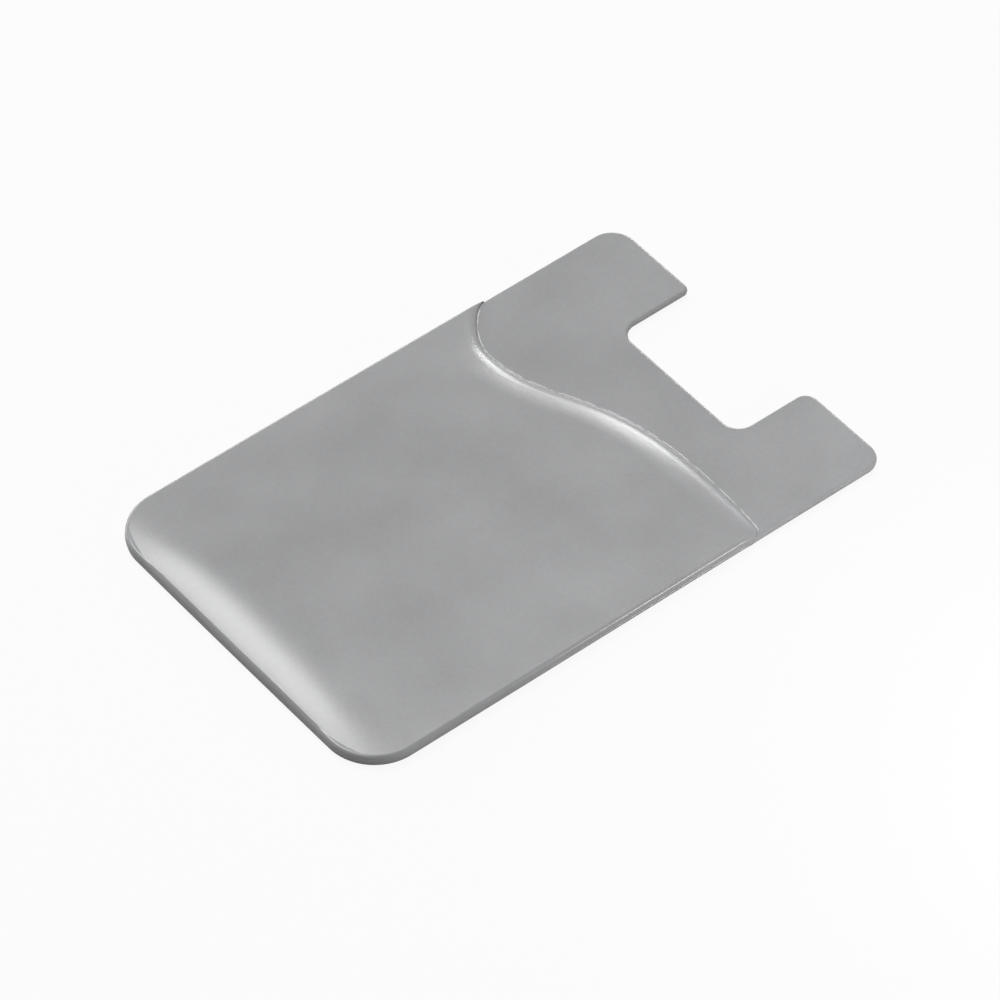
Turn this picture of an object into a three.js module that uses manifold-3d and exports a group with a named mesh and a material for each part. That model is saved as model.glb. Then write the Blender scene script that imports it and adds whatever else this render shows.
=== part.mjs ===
import * as THREE from 'three';
import { mergeVertices } from 'three/addons/utils/BufferGeometryUtils.js';
import Module from 'manifold-3d';

// Stick-on card pocket for the back of a phone, lying on its back with the pocket up.
// X runs across it, Y from the closed end to the two ears, and Z is up. The origin is the
// middle of its underside. Sizes are in millimetres and angles in radians.

// Overall
const LENGTH = 90.5; // closed end to the tips of the ears
const WIDTH = 58; // across the pocket at its widest
const SHEET = 1.0; // thickness of the back sheet
const CLOSED_RADIUS = 7.7; // corners of the closed end
const SIDE_BOW = 0.05; // how far a long side swells between its ends
const END_BOW = 0.1; // how far the closed end swells between its corners

// Ears, and the thumb notch between them
const EAR_RECESS = 0.06; // how far an ear's side lies inside the pocket's side, at the mouth
const EAR_FLARE = 0.18; // and how far it leans out from there to its tip
const EAR_RADIUS_LEFT = 3.9; // outer corners of the ears
const EAR_RADIUS_RIGHT = 3.1;
const TIP_RADIUS_LEFT = 1.1; // the ears' corners beside the notch
const TIP_RADIUS_RIGHT = 2;
const NOTCH_WIDTH = 25.1;
const NOTCH_DEPTH = 12.9;
const NOTCH_RADIUS = 2.7;

// Mouth of the pocket, an S across it, with heights measured from the closed end
const MOUTH_LEFT = 66.5;
const MOUTH_LEFT_PULL = new THREE.Vector2(0.3, -2.2);
const MOUTH_LOW_X = -20.3;
const MOUTH_LOW = 60.3;
const MOUTH_LOW_PULL_LEFT = 3.7;
const MOUTH_LOW_PULL_RIGHT = 12.5;
const MOUTH_CREST_X = 15;
const MOUTH_CREST = 69;
const MOUTH_CREST_PULL_LEFT = 20.9;
const MOUTH_CREST_PULL_RIGHT = 3.9;
const MOUTH_RIGHT = 67.9;
const MOUTH_RIGHT_PULL = new THREE.Vector2(-2, 0.8);
const MOUTH_CORNER_RADIUS = 1.2; // where the mouth meets the right side

// Front panel, swollen like a pillow; heights are above the underside of the back sheet
const RIM_CLOSED = 2.0; // edge of the panel at the closed end
const RIM_MOUTH = 1.7; // and at the mouth
const CROWN = 0.9; // rise from the edge to the flat middle
const SIDE_REACH = 19; // where the rise ends, in from a long side
const CLOSED_REACH = 9; // in from the closed end
const MOUTH_REACH = 5; // in from the mouth
const CROWN_POWER = 2.7; // steepness of the rise at the moulded edges
const MOUTH_POWER = 1.5; // and at the mouth
const CORNER_POWER = 3.4; // squareness of the pillow's closed corners
const EDGE_LENGTH = 1.2; // rounding of the moulded edges, inwards
const EDGE_DROP = 0.8; // and downwards
const LIP_LENGTH = 1.4; // rounding of the lip, inwards
const LIP_DROP = 0.45; // and downwards

// Card slot between the back sheet and the panel
const CARD_WIDTH = 54;
const CARD_THICKNESS = 0.76;
const CARD_CORNER = 3.2;
const CARD_SIDE_CLEARANCE = 0.3;
const CARD_LIFT_CLEARANCE = 0.04;
const SLOT_END_WALL = 2.2; // silicone behind the card at the closed end
const SLOT_RIM_GAP = 0.12; // height of the slot along its edges, where it is nearly shut
const SLOT_RUNOUT = 1.5; // how far the moulding core passes the lip

// Edges of the body
const TOP_FILLET = 0.4; // round the top of the back sheet and its ears
const BOTTOM_FILLET = 0.2;
const FLASH_OUT = 0.06; // fine ridge that the mould leaves round the side
const FLASH_HALF = 0.07;
const FLASH_HEIGHT = 0.5; // of the ridge above the underside
const FLASH_FADE = 3; // distance from the mouth over which the pocket's ridge dies away

// Adhesive sheet on the back, and the liner that is peeled off it
const ADHESIVE_THICKNESS = 0.2;
const ADHESIVE_MARGIN = 2.6; // bare border at the long sides and the closed end
const ADHESIVE_NOTCH_MARGIN = 4; // bare strip under the notch
const ADHESIVE_RADIUS = 6;
const LINER_THICKNESS = 0.1;
const LINER_OVERHANG = 0.5; // border to peel it by

// Facets
const CORNER_STEPS = 10;
const FILLET_STEPS = 4; // of the upper edges
const BOTTOM_STEPS = 2; // of the lower edge
const SIDE_COLUMNS = 9; // of the panel's grid, beside each long side
const MIDDLE_COLUMNS = 12;
const END_ROWS = 7; // of the panel's grid, beside the closed end and the mouth
const MIDDLE_ROWS = 3;
const GRID_CROWDING = 1.6; // power that draws a grid's lines towards an edge
const MOUTH_STEPS = 160; // of the mouth, for distances to it
const HALVINGS = 40; // to find a point of the mouth over x
const SAME_POINT = 1e-5;
const QUARTER = Math.PI / 2;

// Heights and places that follow from the sizes above
const HALF = WIDTH / 2;
const CLOSED_Y = -LENGTH / 2;
const EAR_Y = LENGTH / 2;
const NOTCH_Y = EAR_Y - NOTCH_DEPTH;
const MOUTH_Y = CLOSED_Y + MOUTH_CREST;
const BASE = LINER_THICKNESS + ADHESIVE_THICKNESS;
const SHEET_TOP = BASE + SHEET;
const SLOT_GAP = CARD_THICKNESS + CARD_LIFT_CLEARANCE;

const wasm = await Module();
wasm.setup();

function mix(from, to, share) {
  return from + (to - from) * share;
}

// Values from one number to another, crowded towards the first when power is above one
function spread(from, to, count, power = 1) {
  return Array.from({ length: count + 1 }, (_, k) => mix(from, to, (k / count) ** power));
}

// Distances in from an edge: close together across the edge's rounding, then opening out
function inwardSteps(rounding, reach, count) {
  const across = Array.from({ length: FILLET_STEPS }, (_, k) => (
    rounding * (1 - Math.cos((k / FILLET_STEPS) * QUARTER))
  ));
  return across.concat(spread(rounding, reach, count, GRID_CROWDING));
}

// Mouth of the pocket
function mouthCurves() {
  const left = new THREE.Vector2(-HALF, CLOSED_Y + MOUTH_LEFT);
  const low = new THREE.Vector2(MOUTH_LOW_X, CLOSED_Y + MOUTH_LOW);
  const crest = new THREE.Vector2(MOUTH_CREST_X, CLOSED_Y + MOUTH_CREST);
  const right = new THREE.Vector2(HALF, CLOSED_Y + MOUTH_RIGHT);
  const along = (x) => new THREE.Vector2(x, 0);
  return [
    [left, left.clone().add(MOUTH_LEFT_PULL), low.clone().sub(along(MOUTH_LOW_PULL_LEFT)), low],
    [low, low.clone().add(along(MOUTH_LOW_PULL_RIGHT)),
      crest.clone().sub(along(MOUTH_CREST_PULL_LEFT)), crest],
    [crest, crest.clone().add(along(MOUTH_CREST_PULL_RIGHT)),
      right.clone().add(MOUTH_RIGHT_PULL), right],
  ].map((points) => new THREE.CubicBezierCurve(...points));
}

const MOUTH_CURVES = mouthCurves();

// Height of the mouth over x, found on its curves by halving
function mouthY(x) {
  const curve = MOUTH_CURVES.find((piece) => x <= piece.v3.x) ?? MOUTH_CURVES.at(-1);
  let low = 0;
  let high = 1;
  for (let k = 0; k < HALVINGS; k += 1) {
    const middle = (low + high) / 2;
    if (curve.getPoint(middle).x < x) {
      low = middle;
    } else {
      high = middle;
    }
  }
  const past = Math.min(Math.max(x - (HALF - MOUTH_CORNER_RADIUS), 0), MOUTH_CORNER_RADIUS);
  const corner = MOUTH_CORNER_RADIUS - Math.sqrt(MOUTH_CORNER_RADIUS ** 2 - past ** 2);
  return curve.getPoint((low + high) / 2).y - corner;
}

const MOUTH_POINTS = spread(-HALF, HALF, MOUTH_STEPS).map((x) => (
  new THREE.Vector2(x, mouthY(x))
));

// Distance into the pocket from its mouth, and none in front of it
function mouthDistance(x, y) {
  if (y >= mouthY(x)) {
    return 0;
  }
  const here = new THREE.Vector2(x, y);
  let nearest = Infinity;
  for (let k = 0; k + 1 < MOUTH_POINTS.length; k += 1) {
    const side = MOUTH_POINTS[k + 1].clone().sub(MOUTH_POINTS[k]);
    const reach = here.clone().sub(MOUTH_POINTS[k]);
    const share = THREE.MathUtils.clamp(reach.dot(side) / side.lengthSq(), 0, 1);
    nearest = Math.min(nearest, reach.addScaledVector(side, -share).length());
  }
  return nearest;
}

// Closed end of a pocket of a given half width, corner radius and end, over x
function closedY(x, half, radius, end) {
  const past = Math.min(Math.max(Math.abs(x) - (half - radius), 0), radius);
  return end + radius - Math.sqrt(radius ** 2 - past ** 2);
}

// Distance into the pocket from its three moulded sides
function mouldedDistance(x, y) {
  const side = HALF - Math.abs(x);
  const end = y - CLOSED_Y;
  if (side < CLOSED_RADIUS && end < CLOSED_RADIUS) {
    return CLOSED_RADIUS - Math.hypot(CLOSED_RADIUS - side, CLOSED_RADIUS - end);
  }
  return Math.min(side, end);
}

// Swelling of the pillow over the plan, from 0 at its edges to 1 in its flat middle
function swelling(x, y) {
  const side = Math.max(0, 1 - (HALF - Math.abs(x)) / SIDE_REACH);
  const end = Math.max(0, 1 - (y - CLOSED_Y) / CLOSED_REACH);
  const mouth = Math.max(0, 1 - mouthDistance(x, y) / MOUTH_REACH);
  const moulded = (side ** CORNER_POWER + end ** CORNER_POWER) ** (CROWN_POWER / CORNER_POWER);
  return Math.max(0, 1 - moulded) * (1 - mouth ** MOUTH_POWER);
}

// How far a rounded edge lies below its own top, at a distance in from the edge
function roundingDrop(distance, length, drop) {
  const share = THREE.MathUtils.clamp(1 - distance / length, 0, 1);
  return drop * (1 - Math.sqrt(1 - share ** 2));
}

function panelTop(x, y) {
  const rim = mix(RIM_CLOSED, RIM_MOUTH, (y - CLOSED_Y) / MOUTH_CREST);
  const edge = roundingDrop(mouldedDistance(x, y), EDGE_LENGTH, EDGE_DROP);
  const lip = roundingDrop(mouthDistance(x, y), LIP_LENGTH, LIP_DROP);
  return BASE + rim + CROWN * swelling(x, y) - Math.hypot(edge, lip);
}

function slotRoof(x, y) {
  return SHEET_TOP + mix(SLOT_RIM_GAP, SLOT_GAP, swelling(x, y));
}

// The soft sides bow out a little between the corners
function bowed(x, y, z) {
  const along = (y - CLOSED_Y) / MOUTH_CREST;
  const across = x / HALF;
  const side = SIDE_BOW * (2 * along - 1) ** 2;
  const end = END_BOW * across ** 2 * (1 - along);
  return new THREE.Vector3(x - across * side, y + end, z);
}

// Closed meshes from points and triangles
function geometryOf(points, triangles) {
  const geometry = new THREE.BufferGeometry();
  const numbers = points.flatMap((point) => point.toArray());
  geometry.setAttribute('position', new THREE.Float32BufferAttribute(numbers, 3));
  geometry.setIndex(triangles.flat());
  const merged = mergeVertices(geometry, SAME_POINT);
  const kept = [];
  const corners = merged.index.array;
  for (let k = 0; k < corners.length; k += 3) {
    const [a, b, c] = corners.slice(k, k + 3);
    if (a !== b && b !== c && c !== a) {
      kept.push(a, b, c);
    }
  }
  merged.setIndex(kept);
  return merged;
}

// Side of a solid between rings of equal length, each anticlockwise from above
function wall(triangles, ringBelow, ringAbove) {
  ringBelow.forEach((a, i) => {
    const j = (i + 1) % ringBelow.length;
    triangles.push([a, ringBelow[j], ringAbove[j]], [a, ringAbove[j], ringAbove[i]]);
  });
}

// Flat floor inside a ring, facing down
function floor(triangles, ring, points) {
  const outline = ring.map((index) => new THREE.Vector2(points[index].x, points[index].y));
  for (const [a, b, c] of THREE.ShapeUtils.triangulateShape(outline, [])) {
    triangles.push([ring[a], ring[c], ring[b]]);
  }
}

// Solid between outlines stacked from the bottom up, with a flat floor and a flat top
function stackedSolid(outlines) {
  const points = outlines.flat();
  const triangles = [];
  const rings = outlines.map((outline, k) => outline.map((_, i) => k * outline.length + i));
  rings.slice(1).forEach((ring, k) => wall(triangles, rings[k], ring));
  floor(triangles, rings[0], points);
  const top = [];
  floor(top, rings.at(-1), points);
  top.forEach(([a, b, c]) => triangles.push([a, c, b]));
  return geometryOf(points, triangles);
}

// Solid under a grid of points, whose side falls from the grid's border by lowerRings
function griddedSolid(columns, rows, place, lowerRings) {
  const points = rows.flatMap((row) => columns.map((column) => place(column, row)));
  const triangles = [];
  const at = (i, j) => j * columns.length + i;
  const lastColumn = columns.length - 1;
  const lastRow = rows.length - 1;
  for (let j = 0; j < lastRow; j += 1) {
    for (let i = 0; i < lastColumn; i += 1) {
      triangles.push([at(i, j), at(i + 1, j), at(i + 1, j + 1)]);
      triangles.push([at(i, j), at(i + 1, j + 1), at(i, j + 1)]);
    }
  }
  const border = [];
  for (let i = 0; i < lastColumn; i += 1) border.push(at(i, 0));
  for (let j = 0; j < lastRow; j += 1) border.push(at(lastColumn, j));
  for (let i = lastColumn; i > 0; i -= 1) border.push(at(i, lastRow));
  for (let j = lastRow; j > 0; j -= 1) border.push(at(0, j));
  let above = border;
  for (const outline of lowerRings(border.map((index) => points[index]))) {
    const ring = outline.map((_, i) => points.length + i);
    points.push(...outline);
    wall(triangles, ring, above);
    above = ring;
  }
  floor(triangles, above, points);
  return geometryOf(points, triangles);
}

function solidOf(geometry) {
  return new wasm.Manifold(new wasm.Mesh({
    numProp: 3,
    vertProperties: new Float32Array(geometry.attributes.position.array),
    triVerts: new Uint32Array(geometry.index.array),
  }));
}

function geometryFrom(solid) {
  const mesh = solid.getMesh();
  const geometry = new THREE.BufferGeometry();
  geometry.setAttribute('position', new THREE.BufferAttribute(mesh.vertProperties, 3));
  geometry.setIndex(new THREE.BufferAttribute(mesh.triVerts, 1));
  geometry.computeVertexNormals();
  return geometry;
}

// Outline of square corners, anticlockwise, each { x, y, radius }, rounded and moved inwards
function roundedOutline(corners, inset, z) {
  return corners.flatMap((corner, i) => {
    const before = corners.at(i - 1);
    const after = corners[(i + 1) % corners.length];
    const into = new THREE.Vector2(corner.x - before.x, corner.y - before.y).normalize();
    const out = new THREE.Vector2(after.x - corner.x, after.y - corner.y).normalize();
    const inward = new THREE.Vector2(-into.y - out.y, into.x + out.x);
    const turn = Math.sign(into.cross(out));
    const radius = corner.radius - turn * inset;
    const centre = new THREE.Vector2(corner.x, corner.y);
    centre.addScaledVector(inward, inset + turn * radius);
    const start = Math.atan2(-turn * into.x, turn * into.y);
    return spread(start, start + turn * QUARTER, CORNER_STEPS).map((angle) => new THREE.Vector3(
      centre.x + radius * Math.cos(angle),
      centre.y + radius * Math.sin(angle),
      z,
    ));
  });
}

// Section of the body's side below its top, from the underside up: inset and height
function lowerSection() {
  const rounding = spread(0, QUARTER, BOTTOM_STEPS).map((angle) => ({
    inset: BOTTOM_FILLET * (1 - Math.sin(angle)),
    height: BOTTOM_FILLET * (1 - Math.cos(angle)),
  }));
  return rounding.concat([
    { inset: 0, height: FLASH_HEIGHT - FLASH_HALF },
    { inset: -FLASH_OUT, height: FLASH_HEIGHT },
    { inset: 0, height: FLASH_HEIGHT + FLASH_HALF },
  ]);
}

// The ears lean out from the mouth to their tips
function flared(point) {
  const along = THREE.MathUtils.clamp((point.y - MOUTH_Y) / (EAR_Y - MOUTH_Y), 0, 1);
  return new THREE.Vector3(point.x * (1 + (EAR_FLARE / HALF) * along), point.y, point.z);
}

// Back sheet with its two ears and the thumb notch; under the pocket it stays just inside
function backSheet() {
  const side = HALF - SIDE_BOW - EAR_RECESS;
  const end = CLOSED_Y + END_BOW + EAR_RECESS;
  const notch = NOTCH_WIDTH / 2;
  const corners = [
    { x: -side, y: end, radius: CLOSED_RADIUS },
    { x: side, y: end, radius: CLOSED_RADIUS },
    { x: side, y: EAR_Y, radius: EAR_RADIUS_RIGHT },
    { x: notch, y: EAR_Y, radius: TIP_RADIUS_RIGHT },
    { x: notch, y: NOTCH_Y, radius: NOTCH_RADIUS },
    { x: -notch, y: NOTCH_Y, radius: NOTCH_RADIUS },
    { x: -notch, y: EAR_Y, radius: TIP_RADIUS_LEFT },
    { x: -side, y: EAR_Y, radius: EAR_RADIUS_LEFT },
  ];
  const lower = lowerSection().map(({ inset, height }) => (
    roundedOutline(corners, inset, BASE + height).map(flared)
  ));
  const upper = spread(0, QUARTER, FILLET_STEPS).map((angle) => roundedOutline(
    corners,
    TOP_FILLET * (1 - Math.cos(angle)),
    SHEET_TOP - TOP_FILLET * (1 - Math.sin(angle)),
  ).map(flared));
  return stackedSolid([...lower, ...upper]);
}

// Rows of a grid from a closed end up to the mouth: each is a distance from one of them
function pocketRows(fromClosed, fromMouth) {
  const low = fromClosed.map((distance) => ({ closed: distance }));
  const high = fromMouth.map((distance) => ({ mouth: distance })).reverse();
  const middle = spread(0, 1, MIDDLE_ROWS).slice(1, -1).map((share) => ({ share }));
  return [...low, ...middle, ...high];
}

function rowY(row, low, high) {
  if ('closed' in row) {
    return low + row.closed;
  }
  if ('mouth' in row) {
    return high - row.mouth;
  }
  return mix(low + CLOSED_REACH, high - MOUTH_REACH, row.share);
}

// Columns of a grid, symmetrical about the middle
function pocketColumns(half, rounding, radius) {
  const beside = inwardSteps(rounding, radius, SIDE_COLUMNS).map((distance) => half - distance);
  const middle = spread(radius - half, half - radius, MIDDLE_COLUMNS).slice(1, -1);
  return [...beside.map((x) => -x), ...middle, ...beside.reverse()];
}

// Pocket down to the underside, with the pillow on top and the lip along the mouth
function pocketBlock() {
  const columns = pocketColumns(HALF, EDGE_LENGTH, CLOSED_RADIUS);
  const rows = pocketRows(
    inwardSteps(EDGE_LENGTH, CLOSED_REACH, END_ROWS),
    inwardSteps(LIP_LENGTH, MOUTH_REACH, END_ROWS),
  );
  const plan = (x, row) => new THREE.Vector2(
    x,
    rowY(row, closedY(x, HALF, CLOSED_RADIUS, CLOSED_Y), mouthY(x)),
  );
  const place = (x, row) => {
    const { y } = plan(x, row);
    return bowed(x, y, panelTop(x, y));
  };
  const lowerRings = (border) => lowerSection().reverse().map(({ inset, height }) => (
    border.map((point, i) => {
      const before = border.at(i - 1);
      const after = border[(i + 1) % border.length];
      const along = new THREE.Vector2(after.x - before.x, after.y - before.y).normalize();
      const moved = inset * Math.min(1, mouthDistance(point.x, point.y) / FLASH_FADE);
      return new THREE.Vector3(point.x - along.y * moved, point.y + along.x * moved, BASE + height);
    })
  ));
  return griddedSolid(columns, rows, place, lowerRings);
}

// Moulding core that leaves the card slot, open at the mouth and nearly shut along its edges
function slotCore() {
  const half = CARD_WIDTH / 2 + CARD_SIDE_CLEARANCE;
  const end = CLOSED_Y + SLOT_END_WALL;
  const columns = pocketColumns(half, TOP_FILLET, CARD_CORNER);
  const rows = pocketRows(
    spread(0, CLOSED_REACH, END_ROWS, GRID_CROWDING),
    [0, SLOT_RUNOUT].concat(spread(SLOT_RUNOUT, MOUTH_REACH, END_ROWS, GRID_CROWDING).slice(1)),
  );
  const place = (x, row) => {
    const y = rowY(row, closedY(x, half, CARD_CORNER, end), mouthY(x) + SLOT_RUNOUT);
    return new THREE.Vector3(x, y, slotRoof(x, y));
  };
  const lowerRings = (border) => [border.map(({ x, y }) => new THREE.Vector3(x, y, SHEET_TOP))];
  return griddedSolid(columns, rows, place, lowerRings);
}

function pocketBody() {
  const body = solidOf(backSheet()).add(solidOf(pocketBlock())).subtract(solidOf(slotCore()));
  return geometryFrom(body);
}

// Flat sheet with rounded corners, wider than the adhesive by border, from low to high
function dieCutSheet(border, low, high) {
  const side = HALF - ADHESIVE_MARGIN + border;
  const bottom = CLOSED_Y + ADHESIVE_MARGIN - border;
  const top = NOTCH_Y - ADHESIVE_NOTCH_MARGIN + border;
  const radius = ADHESIVE_RADIUS + border;
  const corners = [
    { x: -side, y: bottom, radius },
    { x: side, y: bottom, radius },
    { x: side, y: top, radius },
    { x: -side, y: top, radius },
  ];
  return stackedSolid([roundedOutline(corners, 0, low), roundedOutline(corners, 0, high)]);
}

const silicone = new THREE.MeshStandardMaterial({ color: 0x9c9c9f, roughness: 0.42, metalness: 0 });
const adhesive = new THREE.MeshStandardMaterial({ color: 0xe6e4dc, roughness: 0.5, metalness: 0 });
const paper = new THREE.MeshStandardMaterial({ color: 0xf2efe6, roughness: 0.6, metalness: 0 });

function piece(name, geometry, material) {
  const mesh = new THREE.Mesh(geometry, material);
  mesh.name = name;
  return mesh;
}

const group = new THREE.Group();
group.add(piece('pocket_body', pocketBody(), silicone));
group.add(piece('adhesive_sheet', dieCutSheet(0, LINER_THICKNESS, BASE), adhesive));
group.add(piece('release_liner', dieCutSheet(LINER_OVERHANG, 0, LINER_THICKNESS), paper));

export default group;
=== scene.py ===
"""Dresses a stick-on card pocket of grey silicone: its moulded body, its backing and its stage.

Sizes are in metres. X runs across the pocket, Y from its closed end to its two ears, Z up.
"""

import bisect
import math

import bpy
from mathutils import Matrix, Vector


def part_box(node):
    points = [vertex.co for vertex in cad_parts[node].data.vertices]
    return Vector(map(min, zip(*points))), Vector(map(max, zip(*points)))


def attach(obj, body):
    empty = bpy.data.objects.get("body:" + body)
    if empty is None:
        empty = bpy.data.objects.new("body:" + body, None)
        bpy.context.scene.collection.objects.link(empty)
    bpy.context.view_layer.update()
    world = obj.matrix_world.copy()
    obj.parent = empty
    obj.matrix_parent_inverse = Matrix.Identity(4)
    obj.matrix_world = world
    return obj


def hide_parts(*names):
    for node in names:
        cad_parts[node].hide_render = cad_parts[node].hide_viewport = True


bl_info = {
    "name": "Card Pocket",
    "version": (1, 0, 0),
    "blender": (4, 5, 0),
    "location": "3D View > Sidebar > Card Pocket",
    "description": "Makes a stick-on card pocket of moulded silicone, with its backing and a stage",
    "category": "Object",
}

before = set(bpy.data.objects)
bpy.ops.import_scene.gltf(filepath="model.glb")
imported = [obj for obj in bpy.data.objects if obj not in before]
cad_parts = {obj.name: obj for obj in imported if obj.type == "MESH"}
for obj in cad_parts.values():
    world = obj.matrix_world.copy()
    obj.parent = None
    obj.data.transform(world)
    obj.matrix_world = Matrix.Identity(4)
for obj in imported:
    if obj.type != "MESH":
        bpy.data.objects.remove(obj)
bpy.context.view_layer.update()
BODY_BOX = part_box("pocket_body")
ADHESIVE_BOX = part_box("adhesive_sheet")

MM = 0.001
QUARTER = math.pi / 2
FLASH_OUT = 0.06 * MM


def size(name, description, millimetres):
    """A length that a user may set, given here in millimetres."""
    return bpy.props.FloatProperty(
        name=name,
        description=description,
        default=millimetres * MM,
        unit="LENGTH",
        precision=5,
    )


def number(name, description, default):
    return bpy.props.FloatProperty(name=name, description=description, default=default, precision=3)


def colour(name, description, default):
    return bpy.props.FloatVectorProperty(
        name=name,
        description=description,
        default=default,
        subtype="COLOR",
        size=3,
        min=0.0,
        max=1.0,
    )


def turn(name, description, degrees):
    return bpy.props.FloatProperty(
        name=name,
        description=description,
        default=math.radians(degrees),
        subtype="ANGLE",
        unit="ROTATION",
    )


class PocketSizes(bpy.types.PropertyGroup):
    """Sizes of the moulded body"""

    length: size(
        "Length",
        "Closed end to the tips of the ears",
        (BODY_BOX[1].y - BODY_BOX[0].y - 2 * FLASH_OUT) / MM,
    )
    width: size("Width", "Across the pocket at its widest", 58)
    base: size("Base", "Height of the underside, on its backing", ADHESIVE_BOX[1].z / MM)
    sheet: size("Back sheet", "Thickness of the back sheet", 1.0)
    closed_radius: size("Closed radius", "Corners of the closed end", 7.7)
    side_bow: size("Side bow", "How far a long side swells between its ends", 0.05)
    end_bow: size("End bow", "How far the closed end swells between its corners", 0.1)
    ear_recess: size("Ear recess", "How far an ear lies inside the pocket's side", 0.06)
    ear_flare: size("Ear flare", "How far an ear leans out towards its tip", 0.18)
    ear_radius_left: size("Left ear radius", "Outer corner of the left ear", 3.9)
    ear_radius_right: size("Right ear radius", "Outer corner of the right ear", 3.1)
    tip_radius_left: size("Left tip radius", "Corner of the left ear beside the notch", 1.1)
    tip_radius_right: size("Right tip radius", "Corner of the right ear beside the notch", 2.0)
    notch_width: size("Notch width", "Thumb notch, across", 25.1)
    notch_depth: size("Notch depth", "Thumb notch, down from the ears' tips", 12.9)
    notch_radius: size("Notch radius", "Inner corners of the thumb notch", 2.7)


class MouthSizes(bpy.types.PropertyGroup):
    """S-shaped mouth of the pocket, measured from its closed end"""

    left: size("Left end", "Height of the mouth at the left side", 66.5)
    left_pull_x: size("Left pull across", "How the curve leaves the left side, across", 0.3)
    left_pull_y: size("Left pull down", "How the curve leaves the left side, down", 2.2)
    low_x: size("Low place", "Place of the dip across the pocket", -20.3)
    low: size("Low", "Height of the dip", 60.3)
    low_pull_left: size("Low pull left", "Flatness of the dip to its left", 3.7)
    low_pull_right: size("Low pull right", "Flatness of the dip to its right", 12.5)
    crest_x: size("Crest place", "Place of the crest across the pocket", 15)
    crest: size("Crest", "Height of the crest", 69)
    crest_pull_left: size("Crest pull left", "Flatness of the crest to its left", 20.9)
    crest_pull_right: size("Crest pull right", "Flatness of the crest to its right", 3.9)
    right: size("Right end", "Height of the mouth at the right side", 67.9)
    right_pull_x: size("Right pull across", "How the curve meets the right side, across", 2.0)
    right_pull_y: size("Right pull up", "How the curve meets the right side, up", 0.8)
    corner_radius: size("Mouth corner", "Rounding where the mouth meets the right side", 1.2)


class PillowSizes(bpy.types.PropertyGroup):
    """Swollen front panel, its lip and the slot under it"""

    rim_closed: size("Rim at closed end", "Panel's edge above the underside", 1.6)
    rim_mouth: size("Rim at mouth", "Panel's edge above the underside, at the mouth", 1.7)
    crown: size("Crown", "Rise from the edge to the flat middle", 1.1)
    side_reach: size("Side reach", "Where the rise ends, in from a long side", 25)
    closed_reach: size("Closed reach", "Where the rise ends, in from the closed end", 8.5)
    mouth_reach: size("Mouth reach", "Where the rise ends, in from the mouth", 5)
    crown_power: number("Crown power", "Steepness of the rise at the moulded edges", 2.3)
    mouth_power: number("Mouth power", "Steepness of the rise at the mouth", 1.5)
    corner_power: number("Corner power", "Squareness of the pillow's closed corners", 3.4)
    edge_length: size("Edge length", "Rounding of the moulded edges, inwards", 0.55)
    edge_drop: size("Edge drop", "Rounding of the moulded edges, downwards", 0.5)
    lip_length: size("Lip length", "Rounding of the lip, inwards", 2.0)
    lip_drop: size("Lip drop", "Rounding of the lip, downwards", 0.5)
    card_width: size("Card width", "Card that the slot holds", 54)
    card_corner: size("Card corner", "Corner of that card", 3.2)
    card_clearance: size("Card clearance", "Room beside the card", 0.3)
    slot_end_wall: size("End wall", "Silicone behind the card at the closed end", 2.2)
    slot_gap: size("Slot height", "Room for the card in the middle of the slot", 0.8)
    slot_rim_gap: size("Slot rim height", "Room along the slot's edges", 0.12)
    slot_runout: size("Slot run-out", "How far the moulding core passes the lip", 1.5)


class EdgeSizes(bpy.types.PropertyGroup):
    """Edges of the body and the fine ridge that the mould leaves"""

    top_fillet: size("Top fillet", "Rounding round the top of the sheet and its ears", 0.4)
    bottom_fillet: size("Bottom fillet", "Rounding of the lower edges", 0.2)
    flash_half: size("Ridge half height", "Half height of the ridge round the side", 0.07)
    flash_height: size("Ridge place", "Height of the ridge above the underside", 0.5)
    flash_fade: size("Ridge fade", "Where the pocket's ridge dies away at the mouth", 3)
    line_offset: size("Mouth line offset", "Place of the broken line in front of the lip", 0.26)
    line_radius: size("Mouth line radius", "Half width of the broken line", 0.11)
    line_patch: size("Mouth line patch", "Usual length of the line's pieces", 2.4)
    line_bareness: number("Mouth line bareness", "Share of the line that is missing", 0.36)
    line_seed: number("Mouth line seed", "Fixes where the line is broken", 4.0)


class Finish(bpy.types.PropertyGroup):
    """Colours and surface"""

    silicone: colour("Silicone", "Colour of the body", (0.312, 0.314, 0.319))
    # The fine ridge at the lip is real, but its colour is about twice as light as the body's: a
    # painted highlight for the glint that the ridge catches
    flash_glint: colour("Flash, painted glint", "Colour of the broken line at the lip", (0.62, 0.62, 0.63))
    silicone_roughness: number("Silicone roughness", "Roughness of the body", 0.24)
    adhesive: colour("Adhesive", "Colour of the sticky film", (0.78, 0.76, 0.70))
    liner: colour("Liner", "Colour of the release paper", (0.87, 0.85, 0.79))


class Stage(bpy.types.PropertyGroup):
    """Camera and floor"""

    azimuth: turn("Azimuth", "Camera's turn round the object", 51.572)
    elevation: turn("Elevation", "Camera's height above the horizon", 47.936)
    roll: turn("Roll", "Camera's tilt", -0.56)
    distance: size("Distance", "Camera to the point that it looks at", 887)
    lens: number("Lens", "Focal length in millimetres, on a sensor 36 mm wide", 234)
    aim: bpy.props.FloatVectorProperty(
        name="Aim",
        description="Point that the camera looks at",
        default=(0.81 * MM, 0.16 * MM, 0.053 * MM),
        unit="LENGTH",
        size=3,
        precision=6,
    )
    floor_size: size("Floor size", "Side of the floor", 6000)
    floor: colour("Floor", "Colour of the floor", (0.6, 0.6, 0.6))


GROUPS = {
    "pocket_sizes": PocketSizes,
    "mouth_sizes": MouthSizes,
    "pillow_sizes": PillowSizes,
    "edge_sizes": EdgeSizes,
    "pocket_finish": Finish,
    "pocket_stage": Stage,
}


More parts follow.
